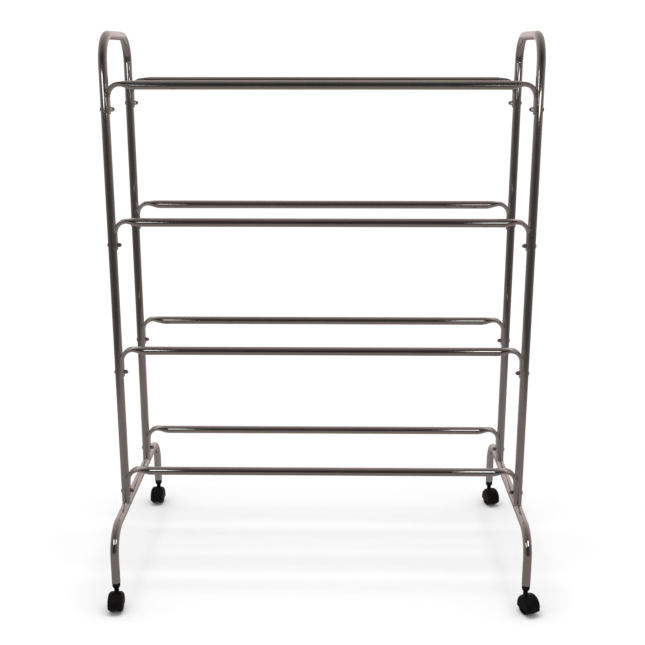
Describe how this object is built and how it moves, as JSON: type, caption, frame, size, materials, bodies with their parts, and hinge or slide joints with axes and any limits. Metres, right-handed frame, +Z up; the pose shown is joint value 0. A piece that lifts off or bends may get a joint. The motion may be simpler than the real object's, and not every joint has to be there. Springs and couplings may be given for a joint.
{
  "type": "hanging file rack",
  "caption": "Free-standing chromed tube rack with pairs of long horizontal rails in tiers for hanging files, on hooded twin-wheel swivel casters.",
  "frame": {"origin": "on the floor, midway between the four caster stems", "axes": "+X to the right along the rails, +Y to the back, +Z up"},
  "size_m": [1.115, 0.7128, 1.452],
  "materials": {
    "chromed_tube": "bright chrome plate on round steel tube",
    "plated_fasteners": "bright plated steel",
    "pin_steel": "turned steel",
    "socket_plastic": "satin moulded black plastic",
    "hood_plastic": "fine-grained moulded black plastic",
    "wheel_nylon": "moulded black nylon"
  },
  "bodies": {
    "frame": {"left_hoop": "chromed_tube", "left_foot_tube": "chromed_tube", "left_weld_beads": "chromed_tube", "right_hoop": "chromed_tube", "right_foot_tube": "chromed_tube", "right_weld_beads": "chromed_tube", "tier_1_front_rail": "chromed_tube", "tier_1_rear_rail": "chromed_tube", "tier_2_front_rail": "chromed_tube", "tier_2_rear_rail": "chromed_tube", "tier_3_front_rail": "chromed_tube", "tier_3_rear_rail": "chromed_tube", "tier_4_front_rail": "chromed_tube", "tier_4_rear_rail": "chromed_tube", "left_frame_screws": "plated_fasteners", "left_cap_nuts": "plated_fasteners", "right_frame_screws": "plated_fasteners", "right_cap_nuts": "plated_fasteners", "left_front_caster_socket": "socket_plastic", "left_front_caster_grip_ring": "pin_steel", "right_front_caster_socket": "socket_plastic", "right_front_caster_grip_ring": "pin_steel", "left_rear_caster_socket": "socket_plastic", "left_rear_caster_grip_ring": "pin_steel", "right_rear_caster_socket": "socket_plastic", "right_rear_caster_grip_ring": "pin_steel"},
    "left_front_caster_swivel": {"left_front_caster_stem": "pin_steel", "left_front_caster_hood": "hood_plastic", "left_front_caster_axle": "pin_steel"},
    "left_front_caster_wheel_left": {"left_front_caster_wheel_left": "wheel_nylon"},
    "left_front_caster_wheel_right": {"left_front_caster_wheel_right": "wheel_nylon"},
    "right_front_caster_swivel": {"right_front_caster_stem": "pin_steel", "right_front_caster_hood": "hood_plastic", "right_front_caster_axle": "pin_steel"},
    "right_front_caster_wheel_left": {"right_front_caster_wheel_left": "wheel_nylon"},
    "right_front_caster_wheel_right": {"right_front_caster_wheel_right": "wheel_nylon"},
    "left_rear_caster_swivel": {"left_rear_caster_stem": "pin_steel", "left_rear_caster_hood": "hood_plastic", "left_rear_caster_axle": "pin_steel"},
    "left_rear_caster_wheel_left": {"left_rear_caster_wheel_left": "wheel_nylon"},
    "left_rear_caster_wheel_right": {"left_rear_caster_wheel_right": "wheel_nylon"},
    "right_rear_caster_swivel": {"right_rear_caster_stem": "pin_steel", "right_rear_caster_hood": "hood_plastic", "right_rear_caster_axle": "pin_steel"},
    "right_rear_caster_wheel_left": {"right_rear_caster_wheel_left": "wheel_nylon"},
    "right_rear_caster_wheel_right": {"right_rear_caster_wheel_right": "wheel_nylon"}
  },
  "joints": [
    {"name": "left_front_swivel", "type": "hinge", "parent": "frame", "child": "left_front_caster_swivel", "pos_m": [-0.53, -0.326, 0.0535], "axis": [0, 0, 1], "continuous": true},
    {"name": "left_front_wheel_left_spin", "type": "hinge", "parent": "left_front_caster_swivel", "child": "left_front_caster_wheel_left", "pos_m": [-0.52921, -0.34098, 0.024], "axis": [0.9986, 0.0523, 0], "continuous": true},
    {"name": "left_front_wheel_right_spin", "type": "hinge", "parent": "left_front_caster_swivel", "child": "left_front_caster_wheel_right", "pos_m": [-0.52921, -0.34098, 0.024], "axis": [0.9986, 0.0523, 0], "continuous": true},
    {"name": "right_front_swivel", "type": "hinge", "parent": "frame", "child": "right_front_caster_swivel", "pos_m": [0.53, -0.326, 0.0535], "axis": [0, 0, 1], "continuous": true},
    {"name": "right_front_wheel_left_spin", "type": "hinge", "parent": "right_front_caster_swivel", "child": "right_front_caster_wheel_left", "pos_m": [0.53658, -0.33948, 0.024], "axis": [0.8988, 0.4384, 0], "continuous": true},
    {"name": "right_front_wheel_right_spin", "type": "hinge", "parent": "right_front_caster_swivel", "child": "right_front_caster_wheel_right", "pos_m": [0.53658, -0.33948, 0.024], "axis": [0.8988, 0.4384, 0], "continuous": true},
    {"name": "left_rear_swivel", "type": "hinge", "parent": "frame", "child": "left_rear_caster_swivel", "pos_m": [-0.53, 0.326, 0.0535], "axis": [0, 0, 1], "continuous": true},
    {"name": "left_rear_wheel_left_spin", "type": "hinge", "parent": "left_rear_caster_swivel", "child": "left_rear_caster_wheel_left", "pos_m": [-0.53079, 0.31102, 0.024], "axis": [0.9986, -0.0523, 0], "continuous": true},
    {"name": "left_rear_wheel_right_spin", "type": "hinge", "parent": "left_rear_caster_swivel", "child": "left_rear_caster_wheel_right", "pos_m": [-0.53079, 0.31102, 0.024], "axis": [0.9986, -0.0523, 0], "continuous": true},
    {"name": "right_rear_swivel", "type": "hinge", "parent": "frame", "child": "right_rear_caster_swivel", "pos_m": [0.53, 0.326, 0.0535], "axis": [0, 0, 1], "continuous": true},
    {"name": "right_rear_wheel_left_spin", "type": "hinge", "parent": "right_rear_caster_swivel", "child": "right_rear_caster_wheel_left", "pos_m": [0.53464, 0.31173, 0.024], "axis": [0.9511, 0.309, 0], "continuous": true},
    {"name": "right_rear_wheel_right_spin", "type": "hinge", "parent": "right_rear_caster_swivel", "child": "right_rear_caster_wheel_right", "pos_m": [0.53464, 0.31173, 0.024], "axis": [0.9511, 0.309, 0], "continuous": true}
  ]
}
